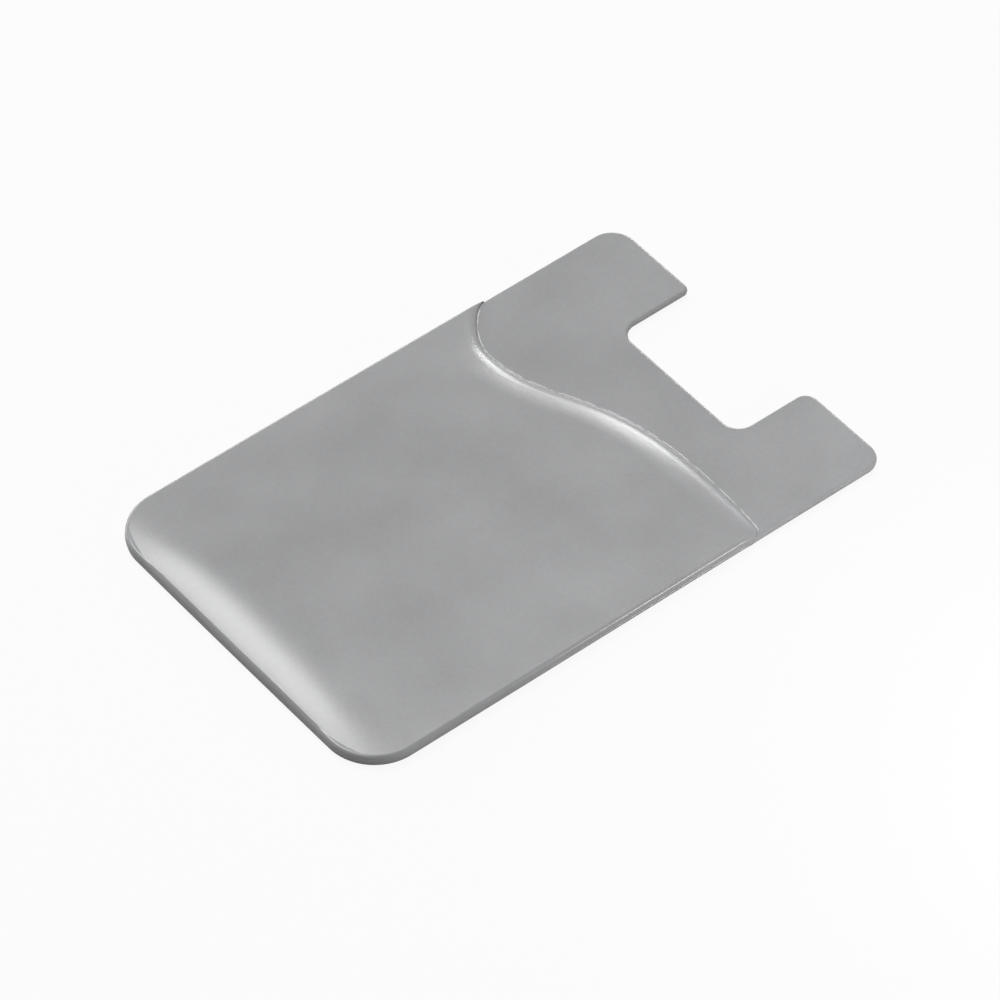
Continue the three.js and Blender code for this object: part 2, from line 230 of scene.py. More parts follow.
class Value:
    """A node's output that adds and multiplies as a number does."""

    def __init__(self, nodes, socket):
        self.nodes = nodes
        self.socket = socket

    def math(self, operation, *others):
        inputs = dict(enumerate([self, *others]))
        return self.nodes.add("ShaderNodeMath", {"operation": operation}, inputs)

    def __add__(self, other):
        return self.math("ADD", other)

    def __sub__(self, other):
        return self.math("SUBTRACT", other)

    def __rsub__(self, other):
        return self.nodes.add("ShaderNodeMath", {"operation": "SUBTRACT"}, {0: other, 1: self})

    def __mul__(self, other):
        return self.math("MULTIPLY", other)

    def __truediv__(self, other):
        return self.math("DIVIDE", other)

    def __pow__(self, other):
        return self.math("POWER", other)

    def __abs__(self):
        return self.math("ABSOLUTE")

    __radd__ = __add__
    __rmul__ = __mul__

    def at_least(self, other):
        return self.math("MAXIMUM", other)

    def at_most(self, other):
        return self.math("MINIMUM", other)

    def root(self):
        return self.math("SQRT")


class Nodes:
    """Adds nodes to a tree, each from its type, its settings and what its sockets hold."""

    def __init__(self, tree):
        self.tree = tree
        tree.nodes.clear()

    def add(self, kind, settings=None, inputs=None, output=0):
        node = self.tree.nodes.new(kind)
        for name, value in (settings or {}).items():
            if name == "stops":
                self.set_stops(node.color_ramp.elements, value)
            else:
                setattr(node, name, value)
        for key, value in (inputs or {}).items():
            if isinstance(value, Value):
                self.tree.links.new(value.socket, node.inputs[key])
            else:
                node.inputs[key].default_value = value
        return Value(self, node.outputs[output]) if node.outputs else node

    @staticmethod
    def set_stops(elements, stops):
        while len(elements) < len(stops):
            elements.new(1.0)
        for element, (place, tone) in zip(elements, stops):
            element.position = place
            element.color = (tone, tone, tone, 1.0)

    def other(self, value, name):
        """Another output of the node that a value comes from."""
        return Value(self, value.socket.node.outputs[name])


def mix(low, high, share):
    return low + (high - low) * share


def spread(low, high, count, power=1.0):
    """Values from low to high, crowded towards low when power is above one."""
    return [mix(low, high, (k / count) ** power) for k in range(count + 1)]


GRID_CROWDING = 1.6
CORNER_STEPS = 24
FILLET_STEPS = 8
BOTTOM_STEPS = 4
SIDE_COLUMNS = 34
MIDDLE_COLUMNS = 70
END_ROWS = 34
MIDDLE_ROWS = 60
MOUTH_STEPS = 1200
SUPPORT = 0.06 * MM


def inward_steps(rounding, reach, count):
    """Distances in from an edge: close together across its rounding, then opening out."""
    across = [
        rounding * (1 - math.cos(k / FILLET_STEPS * QUARTER)) for k in range(FILLET_STEPS)
    ]
    return across + spread(rounding, reach, count, GRID_CROWDING)


class Plan:
    """Places in the pocket's plan that its solids share."""

    def __init__(self, scene):
        self.pocket = scene.pocket_sizes
        self.mouth = scene.mouth_sizes
        self.pillow = scene.pillow_sizes
        self.edge = scene.edge_sizes
        self.half = self.pocket.width / 2
        self.closed_y = -self.pocket.length / 2
        self.ear_y = self.pocket.length / 2
        self.notch_y = self.ear_y - self.pocket.notch_depth
        self.mouth_crest_y = self.closed_y + self.mouth.crest
        self.sheet_top = self.pocket.base + self.pocket.sheet
        self.mouth_line = self.trace_mouth()
        self.mouth_xs = [point.x for point in self.mouth_line]

    def mouth_curves(self):
        """The mouth's three Bezier curves, each as four points."""
        m = self.mouth
        left = Vector((-self.half, self.closed_y + m.left))
        low = Vector((m.low_x, self.closed_y + m.low))
        crest = Vector((m.crest_x, self.closed_y + m.crest))
        right = Vector((self.half, self.closed_y + m.right))
        return [
            (
                left,
                left + Vector((m.left_pull_x, -m.left_pull_y)),
                low - Vector((m.low_pull_left, 0)),
                low,
            ),
            (
                low,
                low + Vector((m.low_pull_right, 0)),
                crest - Vector((m.crest_pull_left, 0)),
                crest,
            ),
            (
                crest,
                crest + Vector((m.crest_pull_right, 0)),
                right + Vector((-m.right_pull_x, m.right_pull_y)),
                right,
            ),
        ]

    def trace_mouth(self):
        line = []
        for a, b, c, d in self.mouth_curves():
            for share in spread(0, 1, MOUTH_STEPS // 3):
                rest = 1 - share
                point = a * rest**3 + b * 3 * rest**2 * share
                line.append(point + c * 3 * rest * share**2 + d * share**3)
        radius = self.mouth.corner_radius
        for point in line:
            past = min(max(point.x - (self.half - radius), 0), radius)
            point.y -= radius - math.sqrt(max(radius**2 - past**2, 0))
        return line

    def mouth_y(self, x):
        """Height of the mouth over x."""
        after = min(max(bisect.bisect_left(self.mouth_xs, x), 1), len(self.mouth_xs) - 1)
        a, b = self.mouth_line[after - 1], self.mouth_line[after]
        share = (x - a.x) / (b.x - a.x) if b.x > a.x else 0
        return mix(a.y, b.y, min(max(share, 0), 1))


def closed_y(x, half, radius, end):
    """Closed end over x, of a pocket of a given half width, corner radius and end."""
    past = min(max(abs(x) - (half - radius), 0), radius)
    return end + radius - math.sqrt(max(radius**2 - past**2, 0))


def mesh_object(name, points, faces, link=True):
    mesh = bpy.data.meshes.new(name)
    mesh.from_pydata(points, [], faces)
    mesh.validate()
    made = bpy.data.objects.new(name, mesh)
    if link:
        bpy.context.scene.collection.objects.link(made)
    return made


def wall(faces, below, above):
    """Side of a solid between rings of equal length, anticlockwise from above."""
    for k in range(len(below)):
        after = (k + 1) % len(below)
        faces.append((below[k], below[after], above[after], above[k]))


def rounded_outline(corners, inset, z):
    """Outline of square corners (x, y, radius), anticlockwise, rounded and moved inwards."""
    outline = []
    for k, (x, y, radius) in enumerate(corners):
        before = Vector(corners[k - 1][:2])
        after = Vector(corners[(k + 1) % len(corners)][:2])
        centre = Vector((x, y))
        into = (centre - before).normalized()
        out = (after - centre).normalized()
        inward = Vector((-into.y - out.y, into.x + out.x))
        bend = 1 if into.x * out.y - into.y * out.x > 0 else -1
        reach = radius - bend * inset
        centre += inward * (inset + bend * reach)
        start = math.atan2(-bend * into.x, bend * into.y)
        for angle in spread(start, start + bend * QUARTER, CORNER_STEPS):
            outline.append(
                Vector((centre.x + reach * math.cos(angle), centre.y + reach * math.sin(angle), z))
            )
    return outline


def lower_section(edge):
    """Section of the body's side below its top, from the underside up: (inset, height)."""
    section = [(edge.bottom_fillet + SUPPORT, 0)]
    for angle in spread(0, QUARTER, BOTTOM_STEPS):
        section.append(
            (edge.bottom_fillet * (1 - math.sin(angle)), edge.bottom_fillet * (1 - math.cos(angle)))
        )
    low = edge.flash_height - edge.flash_half
    high = edge.flash_height + edge.flash_half
    return section + [(0, low - SUPPORT), (0, low), (-FLASH_OUT, edge.flash_height), (0, high)]


def back_sheet(plan):
    """Back sheet with its two ears and the thumb notch."""
    pocket, edge = plan.pocket, plan.edge
    side = plan.half - pocket.side_bow - pocket.ear_recess
    end = plan.closed_y + pocket.end_bow + pocket.ear_recess
    notch = pocket.notch_width / 2
    corners = [
        (-side, end, pocket.closed_radius),
        (side, end, pocket.closed_radius),
        (side, plan.ear_y, pocket.ear_radius_right),
        (notch, plan.ear_y, pocket.tip_radius_right),
        (notch, plan.notch_y, pocket.notch_radius),
        (-notch, plan.notch_y, pocket.notch_radius),
        (-notch, plan.ear_y, pocket.tip_radius_left),
        (-side, plan.ear_y, pocket.ear_radius_left),
    ]

    def flared(point):
        along = (point.y - plan.mouth_crest_y) / (plan.ear_y - plan.mouth_crest_y)
        share = min(max(along, 0), 1)
        return Vector((point.x * (1 + pocket.ear_flare / plan.half * share), point.y, point.z))

    levels = [(inset, pocket.base + height) for inset, height in lower_section(edge)]
    fillet = edge.top_fillet
    for angle in spread(0, QUARTER, FILLET_STEPS):
        below_top = fillet * (1 - math.sin(angle))
        levels.append((fillet * (1 - math.cos(angle)), plan.sheet_top - below_top))
    levels.append((fillet + SUPPORT, plan.sheet_top))
    rings, points, faces = [], [], []
    for inset, z in levels:
        outline = [flared(point) for point in rounded_outline(corners, inset, z)]
        rings.append(list(range(len(points), len(points) + len(outline))))
        points += outline
    for below, above in zip(rings, rings[1:]):
        wall(faces, below, above)
    faces += [tuple(reversed(rings[0])), tuple(rings[-1])]
    return mesh_object("back_sheet", points, faces)


def pocket_columns(half, rounding, radius):
    beside = [half - distance for distance in inward_steps(rounding, radius, SIDE_COLUMNS)]
    middle = spread(radius - half, half - radius, MIDDLE_COLUMNS)[1:-1]
    return [-x for x in beside] + middle + beside[::-1]


def ring_below(points, border, inset_of, height):
    """Points at one height down the side of a border, each moved inwards by its inset."""
    ring = []
    for k, index in enumerate(border):
        here = points[index]
        along = points[border[(k + 1) % len(border)]] - points[border[k - 1]]
        inward = Vector((-along.y, along.x)).normalized() * inset_of(here)
        ring.append(Vector((here.x + inward.x, here.y + inward.y, height)))
    return ring


def gridded_solid(name, columns, rows, place, levels, mouth_y):
    """Solid under a grid of plan points, whose side goes down by levels (inset, height).

    Attribute "follows" is 1 where a vertex follows the pillow, and "inside" within the mouth."""
    points = [place(x, row) for row in rows for x in columns]
    wide, high = len(columns), len(rows)
    faces = []
    for j in range(high - 1):
        for i in range(wide - 1):
            k = j * wide + i
            faces.append((k, k + 1, k + wide + 1, k + wide))
    border = list(range(wide - 1))
    border += [j * wide + wide - 1 for j in range(high - 1)]
    border += [high * wide - 1 - i for i in range(wide - 1)]
    border += [(high - 1 - j) * wide for j in range(high - 1)]
    follows = [1.0] * len(points)
    above = border
    for inset_of, height in levels:
        ring = ring_below(points, border, inset_of, height)
        below = list(range(len(points), len(points) + len(ring)))
        points += ring
        follows += [0.0] * len(ring)
        wall(faces, below, above)
        above = below
    faces.append(tuple(reversed(above)))
    made = mesh_object(name, points, faces)
    inside = [1.0 if point.y < mouth_y(point.x) else 0.0 for point in points]
    for attribute, values in (("follows", follows), ("inside", inside)):
        made.data.attributes.new(attribute, "FLOAT", "POINT").data.foreach_set("value", values)
    return made


def pocket_rows(from_closed, from_mouth):
    """Rows of a grid, each a distance from the closed end or from the mouth, or a share."""
    rows = [("closed", distance) for distance in from_closed]
    rows += [("share", share) for share in spread(0, 1, MIDDLE_ROWS)[1:-1]]
    return rows + [("mouth", distance) for distance in reversed(from_mouth)]


def row_y(row, low, high, pillow):
    kind, amount = row
    if kind == "closed":
        return low + amount
    if kind == "mouth":
        return high - amount
    return mix(low + pillow.closed_reach, high - pillow.mouth_reach, amount)


def pocket_block(plan):
    """Pocket down to the underside, as a flat block that the pillow's rule then raises."""
    pocket, pillow, edge = plan.pocket, plan.pillow, plan.edge
    radius = pocket.closed_radius
    columns = pocket_columns(plan.half, pillow.edge_length, radius)
    rows = pocket_rows(
        inward_steps(pillow.edge_length, pillow.closed_reach, END_ROWS),
        inward_steps(pillow.lip_length, pillow.mouth_reach, END_ROWS),
    )

    def place(x, row):
        low = closed_y(x, plan.half, radius, plan.closed_y)
        return Vector((x, row_y(row, low, plan.mouth_y(x), pillow), plan.sheet_top))

    def inset_of(inset):
        def at(point):
            share = (plan.mouth_y(point.x) - point.y) / edge.flash_fade
            return inset * min(max(share, 0), 1)

        return at

    levels = [(inset_of(inset), pocket.base + height) for inset, height in lower_section(edge)]
    return gridded_solid("pocket_block", columns, rows, place, levels[::-1], plan.mouth_y)


def slot_core(plan):
    """Moulding core that leaves the card slot, open at the mouth."""
    pillow = plan.pillow
    half = pillow.card_width / 2 + pillow.card_clearance
    end = plan.closed_y + pillow.slot_end_wall
    columns = pocket_columns(half, plan.edge.top_fillet, pillow.card_corner)
    reach = spread(pillow.slot_runout, pillow.mouth_reach, END_ROWS, GRID_CROWDING)
    rows = pocket_rows(spread(0, pillow.closed_reach, END_ROWS, GRID_CROWDING), [0] + reach)

    def place(x, row):
        low = closed_y(x, half, pillow.card_corner, end)
        high = plan.mouth_y(x) + pillow.slot_runout
        return Vector((x, row_y(row, low, high, pillow), plan.sheet_top + pillow.slot_rim_gap))

    levels = [(lambda point: 0.0, plan.sheet_top)]
    return gridded_solid("slot_core", columns, rows, place, levels, plan.mouth_y)


def line_object(name, points):
    """Open line through points, as the edges of a mesh."""
    mesh = bpy.data.meshes.new(name)
    mesh.from_pydata(points, [(k, k + 1) for k in range(len(points) - 1)], [])
    made = bpy.data.objects.new(name, mesh)
    bpy.context.scene.collection.objects.link(made)
    return made


def geometry_tree(name, inputs):
    """New geometry tree with a geometry in and out, and its Nodes and named inputs."""
    tree = bpy.data.node_groups.new(name, "GeometryNodeTree")
    tree.interface.new_socket("Geometry", in_out="INPUT", socket_type="NodeSocketGeometry")
    tree.interface.new_socket("Geometry", in_out="OUTPUT", socket_type="NodeSocketGeometry")
    for label, kind in inputs.items():
        tree.interface.new_socket(label, in_out="INPUT", socket_type="NodeSocket" + kind)
    nodes = Nodes(tree)
    start = nodes.add("NodeGroupInput")
    return tree, nodes, lambda label: nodes.other(start, label)


def finish_tree(nodes, geometry, material):
    """Ends a geometry tree in real geometry with its material."""
    real = nodes.add("GeometryNodeRealizeInstances", None, {0: geometry})
    painted = nodes.add("GeometryNodeSetMaterial", None, {"Geometry": real, "Material": material})
    out = nodes.tree.nodes.new("NodeGroupOutput")
    nodes.tree.links.new(painted.socket, out.inputs[0])


def add_tree(made, tree, values):
    """Adds a geometry tree to an object, its inputs set by their identifiers."""
    modifier = made.modifiers.new(tree.name, "NODES")
    modifier.node_group = tree
    for item in tree.interface.items_tree:
        if item.in_out == "INPUT" and item.name in values:
            modifier[item.identifier] = values[item.name]
    return modifier


PILLOW_INPUTS = {
    "Mouth": "Object",
    "Half Width": "Float",
    "Closed End": "Float",
    "Crest Height": "Float",
    "Corner Radius": "Float",
    "Foot": "Float",
    "Rim At Closed End": "Float",
    "Rim At Mouth": "Float",
    "Crown": "Float",
    "Side Reach": "Float",
    "Closed Reach": "Float",
    "Mouth Reach": "Float",
    "Crown Power": "Float",
    "Mouth Power": "Float",
    "Corner Power": "Float",
    "Edge Length": "Float",
    "Edge Drop": "Float",
    "Lip Length": "Float",
    "Lip Drop": "Float",
    "Side Bow": "Float",
    "End Bow": "Float",
    "Finish": "Material",
}


def pillow_tree():
    """Raises a flat block to a pillow that falls to its moulded sides and to its mouth."""
    tree, nodes, given = geometry_tree("Pillow", PILLOW_INPUTS)
    place = nodes.add("GeometryNodeInputPosition")
    x = nodes.add("ShaderNodeSeparateXYZ", None, {0: place}, "X")
    y, z = nodes.other(x, "Y"), nodes.other(x, "Z")
    follows = named_value(nodes, "follows")
    inside = named_value(nodes, "inside")

    flat_place = nodes.add("ShaderNodeCombineXYZ", None, {"X": x, "Y": y, "Z": 0.0})
    mouth = nodes.add("GeometryNodeObjectInfo", None, {"Object": given("Mouth")}, "Geometry")
    to_mouth = nodes.add(
        "GeometryNodeProximity",
        {"target_element": "EDGES"},
        {0: mouth, "Sample Position": flat_place},
        "Distance",
    )
    from_mouth = to_mouth * inside
    from_side = given("Half Width") - abs(x)
    from_end = y - given("Closed End")

    side = (1 - from_side / given("Side Reach")).at_least(0)
    end = (1 - from_end / given("Closed Reach")).at_least(0)
    near = (1 - from_mouth / given("Mouth Reach")).at_least(0)
    corner = given("Corner Power")
    moulded = (side**corner + end**corner) ** (given("Crown Power") / corner)
    swelling = (1 - moulded).at_least(0) * (1 - near ** given("Mouth Power"))

    radius = given("Corner Radius")
    past_side = (radius - from_side).at_least(0)
    past_end = (radius - from_end).at_least(0)
    from_edge = radius - (past_side**2 + past_end**2).root()

    def rounding(distance, length, drop):
        share = (1 - distance / length).at_least(0).at_most(1)
        return drop * (1 - (1 - share**2).root())

    edge = rounding(from_edge, given("Edge Length"), given("Edge Drop"))
    lip = rounding(from_mouth, given("Lip Length"), given("Lip Drop"))
    along = from_end / given("Crest Height")
    rim = given("Rim At Closed End") * (1 - along) + given("Rim At Mouth") * along
    top = given("Foot") + rim + given("Crown") * swelling - (edge**2 + lip**2).root()

    across = x / given("Half Width")
    bowed_x = x - across * given("Side Bow") * (2 * along - 1) ** 2
    bowed_y = y + given("End Bow") * across**2 * (1 - along)
    height = z * (1 - follows) + top * follows
    moved = nodes.add("ShaderNodeCombineXYZ", None, {"X": bowed_x, "Y": bowed_y, "Z": height})
    shaped = nodes.add(
        "GeometryNodeSetPosition", None, {"Geometry": given("Geometry"), "Position": moved}
    )
    finish_tree(nodes, shaped, given("Finish"))
    return tree


def named_value(nodes, name):
    """Reads a vertex attribute of one number."""
    return nodes.add("GeometryNodeInputNamedAttribute", {"data_type": "FLOAT"}, {"Name": name})


LINE_INPUTS = {
    "Radius": "Float",
    "Step": "Float",
    "Patch": "Float",
    "Bareness": "Float",
    "Seed": "Float",
    "Finish": "Material",
}


LINE_CONTRAST = 6  # how suddenly the line's pieces end
LINE_THINNEST = 0.12  # of its full thickness, where it is missing
LINE_SIDES = 8
LINE_STEP = 0.12 * MM
LINE_STOP = 3  # its offsets, from its ends to the pocket's sides


def mould_line_tree():
    """Fine broken ridge along a line, as the meeting halves of a mould leave it."""
    tree, nodes, given = geometry_tree("Mould line", LINE_INPUTS)
    curve = nodes.add("GeometryNodeMeshToCurve", None, {"Mesh": given("Geometry")})
    even = nodes.add(
        "GeometryNodeResampleCurve",
        {"mode": "LENGTH"},
        {"Curve": curve, "Length": given("Step")},
    )
    length = nodes.add("GeometryNodeSplineParameter", None, None, "Length")
    patches = nodes.add(
        "ShaderNodeTexNoise",
        {"noise_dimensions": "2D"},
        {
            "Vector": nodes.add(
                "ShaderNodeCombineXYZ",
                None,
                {"X": length / given("Patch"), "Y": given("Seed"), "Z": 0.0},
            ),
            "Scale": 1.0,
            "Detail": 3.0,
            "Roughness": 0.6,
        },
    )
    share = (patches - given("Bareness")) * LINE_CONTRAST
    thickness = share.at_least(LINE_THINNEST).at_most(1)
    section = nodes.add(
        "GeometryNodeCurvePrimitiveCircle",
        {"mode": "RADIUS"},
        {"Resolution": LINE_SIDES, "Radius": given("Radius")},
    )
    tube = nodes.add(
        "GeometryNodeCurveToMesh",
        None,
        {"Curve": even, "Profile Curve": section, "Scale": thickness, "Fill Caps": True},
    )
    finish_tree(nodes, tube, given("Finish"))
    return tree


def line_points(plan):
    """Line on the back sheet, just in front of the lip."""
    offset = plan.edge.line_offset
    points = []
    for a, b in zip(plan.mouth_line, plan.mouth_line[1:]):
        along = b - a
        if along.length > 0 and abs(a.x) < plan.half - LINE_STOP * offset:
            ahead = Vector((-along.y, along.x)).normalized() * offset
            points.append((a.x + ahead.x, a.y + ahead.y, plan.sheet_top))
    return points


def evaluated(made, name):
    """Plain mesh object of what an object's modifiers make, in its place."""
    graph = bpy.context.evaluated_depsgraph_get()
    mesh = bpy.data.meshes.new_from_object(made.evaluated_get(graph))
    mesh.name = name
    plain = bpy.data.objects.new(name, mesh)
    bpy.context.scene.collection.objects.link(plain)
    return plain


def drop(*objects):
    for made in objects:
        bpy.data.objects.remove(made, do_unlink=True)


def combine(target, cutter, operation):
    """Joins a closed solid to another or cuts it from it."""
    modifier = target.modifiers.new(operation.title(), "BOOLEAN")
    modifier.operation = operation
    modifier.solver = "MANIFOLD"
    modifier.object = cutter


SHARP_ANGLE = math.radians(38)


def smooth(made):
    """Smooth faces, sharp where they meet at more than the sharp angle."""
    made.data.shade_smooth()
    made.data.set_sharp_from_angle(angle=SHARP_ANGLE)


def object_place(nodes):
    return nodes.add("ShaderNodeTexCoord", None, None, "Object")


def noise(nodes, place, millimetres, detail=2.0, roughness=0.5):
    """Noise from 0 to 1 whose blotches are about so many millimetres wide."""
    return nodes.add(
        "ShaderNodeTexNoise",
        {"noise_dimensions": "3D"},
        {"Vector": place, "Scale": 1 / (millimetres * MM), "Detail": detail, "Roughness": roughness},
    )


def tinted(nodes, base, share):
    """A colour made lighter or darker by a share around one."""
    grey = nodes.add("ShaderNodeCombineXYZ", None, {"X": share, "Y": share, "Z": share})
    return nodes.add(
        "ShaderNodeVectorMath", {"operation": "MULTIPLY"}, {0: tuple(base), 1: grey}
    )


def new_material(name):
    material = bpy.data.materials.new(name)
    material.use_nodes = True
    return material, Nodes(material.node_tree)


def surface(nodes, inputs):
    shader = nodes.add("ShaderNodeBsdfPrincipled", None, inputs, "BSDF")
    out = nodes.tree.nodes.new("ShaderNodeOutputMaterial")
    nodes.tree.links.new(shader.socket, out.inputs["Surface"])


def bump(nodes, height, distance, strength=1.0, below=None):
    """Normal of a height from 0 to 1 over a depth in metres."""
    inputs = {"Height": height, "Distance": distance, "Strength": strength}
    if below is not None:
        inputs["Normal"] = below
    return nodes.add("ShaderNodeBump", None, inputs, "Normal")


GRAIN_WIDTH = 0.22  # millimetres, as the widths below
GRAIN_DEPTH = 0.012 * MM
SPECK_WIDTH = 0.55
SHADE_CLOUD_WIDTH = 14
WAVE_WIDTH = 11
WAVE_DEPTH = 0.10 * MM
SILICONE_IOR = 1.43


def silicone_material(name, base, finish):
    """Satin moulded silicone: a fine grain, faint specks and a slow waviness, with slow clouds of
    painted shade in its colour that stand for the shading of that waviness.
    """
    material, nodes = new_material(name)
    place = object_place(nodes)
    grain = noise(nodes, place, GRAIN_WIDTH, 3.0, 0.6)
    specks = noise(nodes, place, SPECK_WIDTH, 4.0, 0.65) - 0.5
    cloud = noise(nodes, place, SHADE_CLOUD_WIDTH, 2.0, 0.5) - 0.5
    # The slow clouds lighten and darken the colour: painted shade and sheen for the light that a
    # slight waviness of the panel catches; the specks are the silicone's own mottling
    share = 1 + specks * 0.16 + cloud * 0.30
    roughness = finish.silicone_roughness + specks * 0.08 + cloud * 0.06
    waves = bump(nodes, noise(nodes, place, WAVE_WIDTH, 1.0, 0.4), WAVE_DEPTH)
    normal = bump(nodes, grain, GRAIN_DEPTH, 1.0, waves)
    surface(
        nodes,
        {
            "Base Color": tinted(nodes, base, share),
            "Roughness": roughness,
            "Normal": normal,
            "IOR": SILICONE_IOR,
        },
    )
    return material


def adhesive_material(finish):
    """Milky film with faint clouds of trapped air."""
    material, nodes = new_material("Milky adhesive film")
    place = object_place(nodes)
    air = noise(nodes, place, 1.4, 3.0, 0.6)
    surface(
        nodes,
        {
            "Base Color": tinted(nodes, finish.adhesive, 1 + (air - 0.5) * 0.12),
            "Roughness": 0.35 + air * 0.2,
            "Normal": bump(nodes, air, 0.01 * MM),
        },
    )
    return material


def liner_material(finish):
    """Coated release paper: fibres under a smooth coat."""
    material, nodes = new_material("Release paper")
    place = object_place(nodes)
    stretched = nodes.add("ShaderNodeMapping", None, {"Vector": place, "Scale": (1.0, 0.6, 1.0)})
    fibres = noise(nodes, stretched, 0.35, 4.0, 0.6)
    cloud = noise(nodes, place, 6, 2.0, 0.5)
    share = 1 + (fibres - 0.5) * 0.05 + (cloud - 0.5) * 0.04
    surface(
        nodes,
        {
            "Base Color": tinted(nodes, finish.liner, share),
            "Roughness": 0.38 + fibres * 0.2,
            "Normal": bump(nodes, fibres, 0.002 * MM),
        },
    )
    return material


class POCKET_OT_body(bpy.types.Operator):
    """Makes the moulded body: back sheet, swollen pocket, card slot and mould lines"""

    bl_idname = "pocket.body"
    bl_label = "Moulded Body"

    def execute(self, context):
        scene = context.scene
        plan = Plan(scene)
        pocket, pillow = plan.pocket, plan.pillow
        finish = scene.pocket_finish
        material = silicone_material("Satin silicone", finish.silicone, finish)
        mouth = line_object("mouth_line", [(p.x, p.y, 0) for p in plan.mouth_line])
        tree = pillow_tree()
        shared = {
            "Mouth": mouth,
            "Half Width": plan.half,
            "Closed End": plan.closed_y,
            "Crest Height": plan.mouth.crest,
            "Corner Radius": pocket.closed_radius,
            "Side Reach": pillow.side_reach,
            "Closed Reach": pillow.closed_reach,
            "Mouth Reach": pillow.mouth_reach,
            "Crown Power": pillow.crown_power,
            "Mouth Power": pillow.mouth_power,
            "Corner Power": pillow.corner_power,
            "Edge Length": pillow.edge_length,
            "Lip Length": pillow.lip_length,
            "Finish": material,
        }
        block = pocket_block(plan)
        add_tree(block, tree, shared | {
            "Foot": pocket.base,
            "Rim At Closed End": pillow.rim_closed,
            "Rim At Mouth": pillow.rim_mouth,
            "Crown": pillow.crown,
            "Edge Drop": pillow.edge_drop,
            "Lip Drop": pillow.lip_drop,
            "Side Bow": pocket.side_bow,
            "End Bow": pocket.end_bow,
        })
        core = slot_core(plan)
        add_tree(core, tree, shared | {
            "Foot": plan.sheet_top,
            "Rim At Closed End": pillow.slot_rim_gap,
            "Rim At Mouth": pillow.slot_rim_gap,
            "Crown": pillow.slot_gap - pillow.slot_rim_gap,
            "Edge Drop": 0.0,
            "Lip Drop": 0.0,
            "Side Bow": 0.0,
            "End Bow": 0.0,
        })
        raised, cut = evaluated(block, "raised_block"), evaluated(core, "raised_core")
        drop(block, core, mouth)
        sheet = back_sheet(plan)
        combine(raised, sheet, "UNION")
        combine(raised, cut, "DIFFERENCE")
        body = evaluated(raised, "moulded_body")
        drop(raised, cut, sheet)
        body.data.materials.clear()
        body.data.materials.append(material)
        smooth(body)
        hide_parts("pocket_body")
        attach(body, "root")

        line = line_object("mouth_line", line_points(plan))
        add_tree(line, mould_line_tree(), {
            "Radius": plan.edge.line_radius,
            "Step": LINE_STEP,
            "Patch": plan.edge.line_patch,
            "Bareness": plan.edge.line_bareness,
            "Seed": plan.edge.line_seed,
            # The ridge's pale colour is a painted glint on a real moulded ridge
            "Finish": silicone_material("Silicone flash, painted glint", finish.flash_glint, finish),
        })
        ridge = evaluated(line, "mouth_ridge")
        drop(line)
        smooth(ridge)
        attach(ridge, "root")
        return {"FINISHED"}


class POCKET_OT_backing(bpy.types.Operator):
    """Gives the adhesive sheet and its release liner their finishes"""

    bl_idname = "pocket.backing"
    bl_label = "Backing"

    def execute(self, context):
        finish = context.scene.pocket_finish
        for node, material in (
            ("adhesive_sheet", adhesive_material(finish)),
            ("release_liner", liner_material(finish)),
        ):
            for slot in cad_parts[node].material_slots:
                slot.material = material
        return {"FINISHED"}


FLOOR_WHITE = 0.92  # share of plain white that the camera sees in the floor
FLOOR_GAP = 0.01 * MM  # keeps the floor apart from the liner that lies on it
LAMP_DISTANCE = 1.2
# Azimuth, elevation, width and height in degrees, and radiance
LAMPS = {
    "overhead_box": (273, 58, 17, 17, 17.0),
    "corner_box": (312, 66, 16, 8, 7.0),
    "sky_panel": (300, 84, 34, 30, 1.9),
    "back_strip": (323, 20, 10, 13, 16.0),
    "back_glow": (318, 34, 10, 14, 1.2),
    "left_fill": (268, 9, 60, 16, 5.0),
    "right_fill": (84, 7, 56, 14, 1.5),
}
# Small lamp that draws a light along the middle of the pocket's right side
SIDE_CARD_PLACE = Vector((0.112, 0.050, 0.024))
SIDE_CARD_TARGET = Vector((0.029, 0.004, 0.001))
SIDE_CARD_WIDE = 0.030
SIDE_CARD_HIGH = 0.020
SIDE_CARD_RADIANCE = 26.0
ROOM_TONE = 0.20


def camera_axes(stage):
    """Right, up and back of the camera, from its azimuth, elevation and roll."""
    a, e, roll = stage.azimuth, stage.elevation, stage.roll
    back = Vector((math.sin(a) * math.cos(e), -math.cos(a) * math.cos(e), math.sin(e)))
    right = Vector((math.cos(a), math.sin(a), 0))
    up = back.cross(right)
    tilted_right = right * math.cos(roll) + up * math.sin(roll)
    tilted_up = up * math.cos(roll) - right * math.sin(roll)
    return tilted_right, tilted_up, back


def area_lamp(name, place, back, wide, high):
    """Rectangular lamp at a place, with its back turned along a direction."""
    lamp = bpy.data.lights.new(name, "AREA")
    lamp.shape = "RECTANGLE"
    lamp.size, lamp.size_y = wide, high
    made = bpy.data.objects.new(name, lamp)
    made.location = place
    made.rotation_euler = back.to_track_quat("Z", "Y").to_euler()
    bpy.context.scene.collection.objects.link(made)
    return lamp


def softbox(name, azimuth, elevation, wide, high, radiance):
    """Lamp whose place and spans are in degrees, as seen from the object.

    Azimuth 0 is along +Y, and 90 along +X."""
    turned, raised = math.radians(azimuth), math.radians(elevation)
    direction = Vector((
        math.sin(turned) * math.cos(raised),
        math.cos(turned) * math.cos(raised),
        math.sin(raised),
    ))
    sides = [2 * LAMP_DISTANCE * math.tan(math.radians(span) / 2) for span in (wide, high)]
    lamp = area_lamp(name, direction * LAMP_DISTANCE, direction, *sides)
    lamp.energy = radiance * math.pi * lamp.size * lamp.size_y


